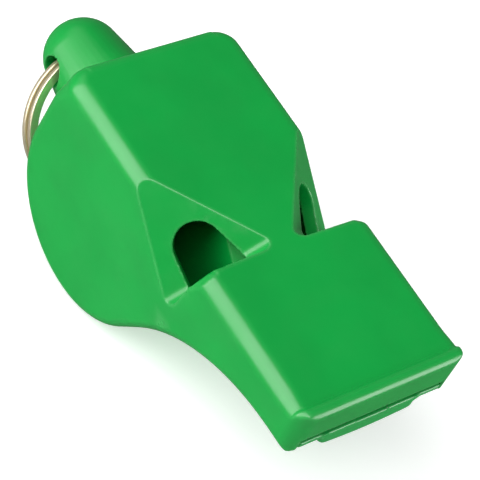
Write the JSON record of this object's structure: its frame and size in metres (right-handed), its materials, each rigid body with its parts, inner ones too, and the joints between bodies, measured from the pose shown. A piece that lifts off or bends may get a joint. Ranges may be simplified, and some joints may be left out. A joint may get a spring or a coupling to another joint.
{
  "type": "pealess sports whistle",
  "caption": "Pealess sports whistle: flat-topped drum body with side windows, a mouthpiece with bite lips, a rear lug and a swinging split ring.",
  "frame": {"origin": "under the middle of the whole object, level with the drum's lowest line", "axes": "+X towards the mouthpiece, +Z square to the flat top and out of it, +Y across the width"},
  "size_m": [0.0572, 0.021, 0.0246],
  "materials": {
    "housing_plastic": "satin gloss, finely textured moulding",
    "cover_plastic": "satin gloss",
    "insert_plastic": "satin gloss",
    "ring_metal": "nickel plated, lightly scratched"
  },
  "bodies": {
    "whistle_body": {"housing": "housing_plastic", "belly_cover": "cover_plastic", "airway_insert": "insert_plastic"},
    "ring": {"split_ring": "ring_metal"}
  },
  "joints": [
    {"name": "ring_swing", "type": "hinge", "parent": "whistle_body", "child": "ring", "pos_m": [-0.02365, 0, 0.0128], "axis": [0, 1, 0], "range_deg": [0, 240]}
  ]
}
